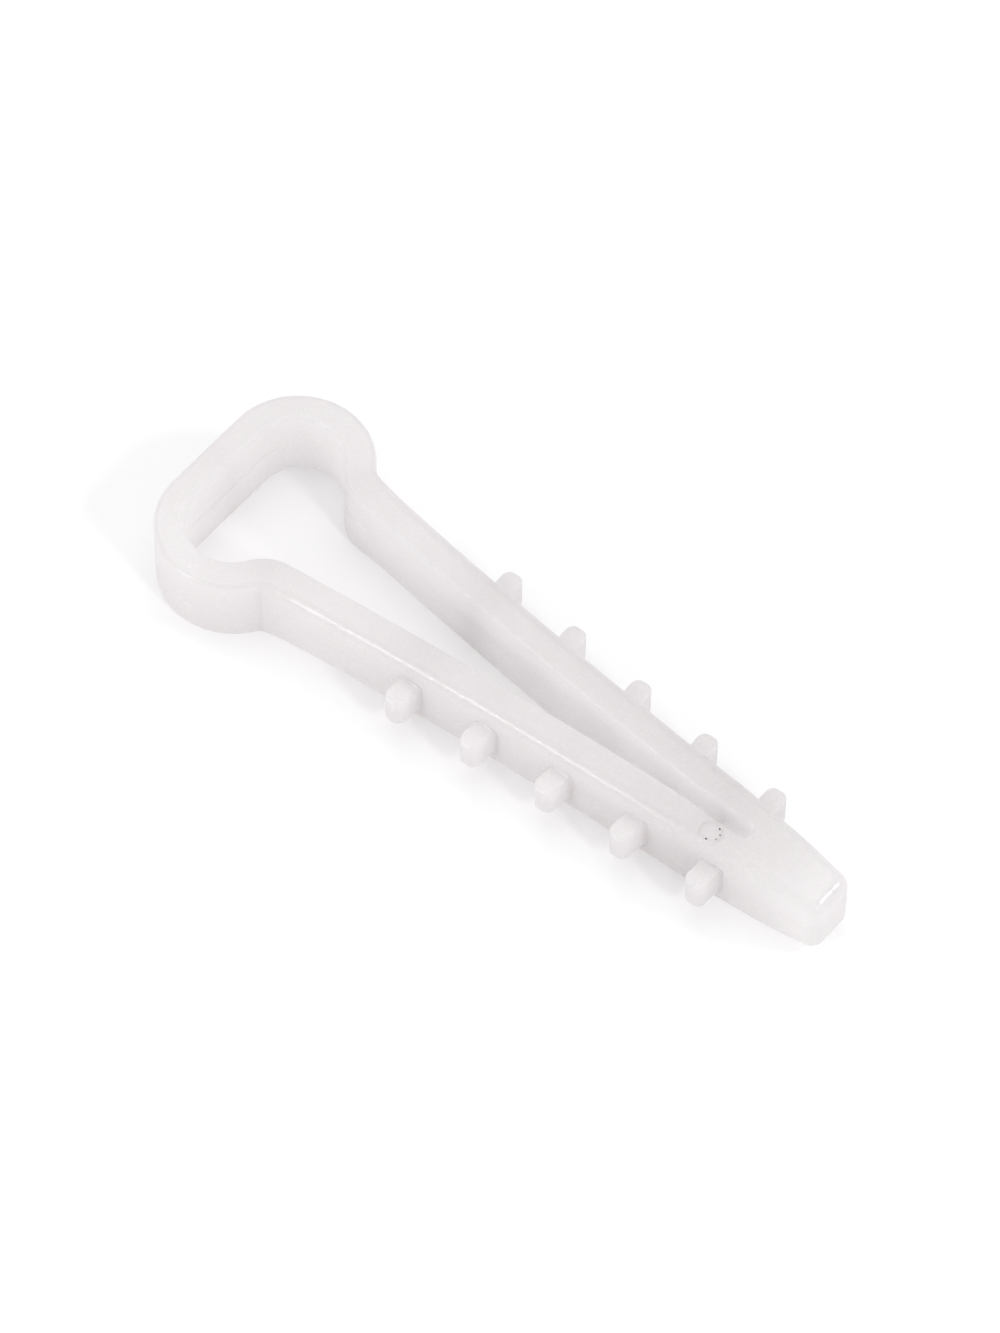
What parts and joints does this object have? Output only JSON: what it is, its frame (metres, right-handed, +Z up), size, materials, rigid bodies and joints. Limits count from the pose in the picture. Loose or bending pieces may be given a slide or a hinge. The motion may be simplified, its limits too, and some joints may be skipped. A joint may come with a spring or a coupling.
{
  "type": "cable clip wall anchor",
  "caption": "One-piece plastic wall anchor with a closed cable loop, two ribbed spring legs and a tapered nose, pushed into a drilled hole.",
  "frame": {"origin": "middle of the bounding box in plan, on the underside", "axes": "+X along the length towards the nose tip, +Y towards the left leg, +Z up through the moulding's height"},
  "size_m": [0.045, 0.0142, 0.0049],
  "materials": {
    "natural_nylon": "satin moulded nylon, uncoloured"
  },
  "bodies": {
    "nose": {"nose": "natural_nylon", "nose_ribs": "natural_nylon"},
    "left_leg": {"left_leg": "natural_nylon", "left_ribs": "natural_nylon"},
    "left_shoulder": {"left_shoulder": "natural_nylon"},
    "left_saddle": {"left_saddle": "natural_nylon"},
    "right_leg": {"right_leg": "natural_nylon", "right_ribs": "natural_nylon"},
    "right_shoulder": {"right_shoulder": "natural_nylon"},
    "right_saddle": {"right_saddle": "natural_nylon"}
  },
  "joints": [
    {"name": "left_root_flex", "type": "hinge", "parent": "nose", "child": "left_leg", "pos_m": [0.01283, 0.00143, 0], "axis": [0, 0, 1], "range_deg": [-1, 5], "stiffness_Nm_per_rad": 0.02},
    {"name": "left_neck_flex", "type": "hinge", "parent": "left_leg", "child": "left_shoulder", "pos_m": [-0.01053, 0.00348, 0], "axis": [0, 0, -1], "range_deg": [-3.5, 17], "stiffness_Nm_per_rad": 0.002},
    {"name": "left_corner_flex", "type": "hinge", "parent": "left_shoulder", "child": "left_saddle", "pos_m": [-0.02059, 0.00524, 0], "axis": [0, 0, 1], "range_deg": [-2.5, 12], "stiffness_Nm_per_rad": 0.002},
    {"name": "right_root_flex", "type": "hinge", "parent": "nose", "child": "right_leg", "pos_m": [0.01283, -0.00143, 0], "axis": [0, 0, -1], "range_deg": [-1, 5], "stiffness_Nm_per_rad": 0.02},
    {"name": "right_neck_flex", "type": "hinge", "parent": "right_leg", "child": "right_shoulder", "pos_m": [-0.01053, -0.00348, 0], "axis": [0, 0, 1], "range_deg": [-3.5, 17], "stiffness_Nm_per_rad": 0.002},
    {"name": "right_corner_flex", "type": "hinge", "parent": "right_shoulder", "child": "right_saddle", "pos_m": [-0.02059, -0.00524, 0], "axis": [0, 0, -1], "range_deg": [-2.5, 12], "stiffness_Nm_per_rad": 0.002}
  ],
  "couplings": [
    {"joint": "left_neck_flex", "follows": "left_root_flex", "ratio": 3.39},
    {"joint": "left_corner_flex", "follows": "left_root_flex", "ratio": 2.39},
    {"joint": "right_root_flex", "follows": "left_root_flex", "ratio": 1},
    {"joint": "right_neck_flex", "follows": "left_root_flex", "ratio": 3.39},
    {"joint": "right_corner_flex", "follows": "left_root_flex", "ratio": 2.39}
  ]
}
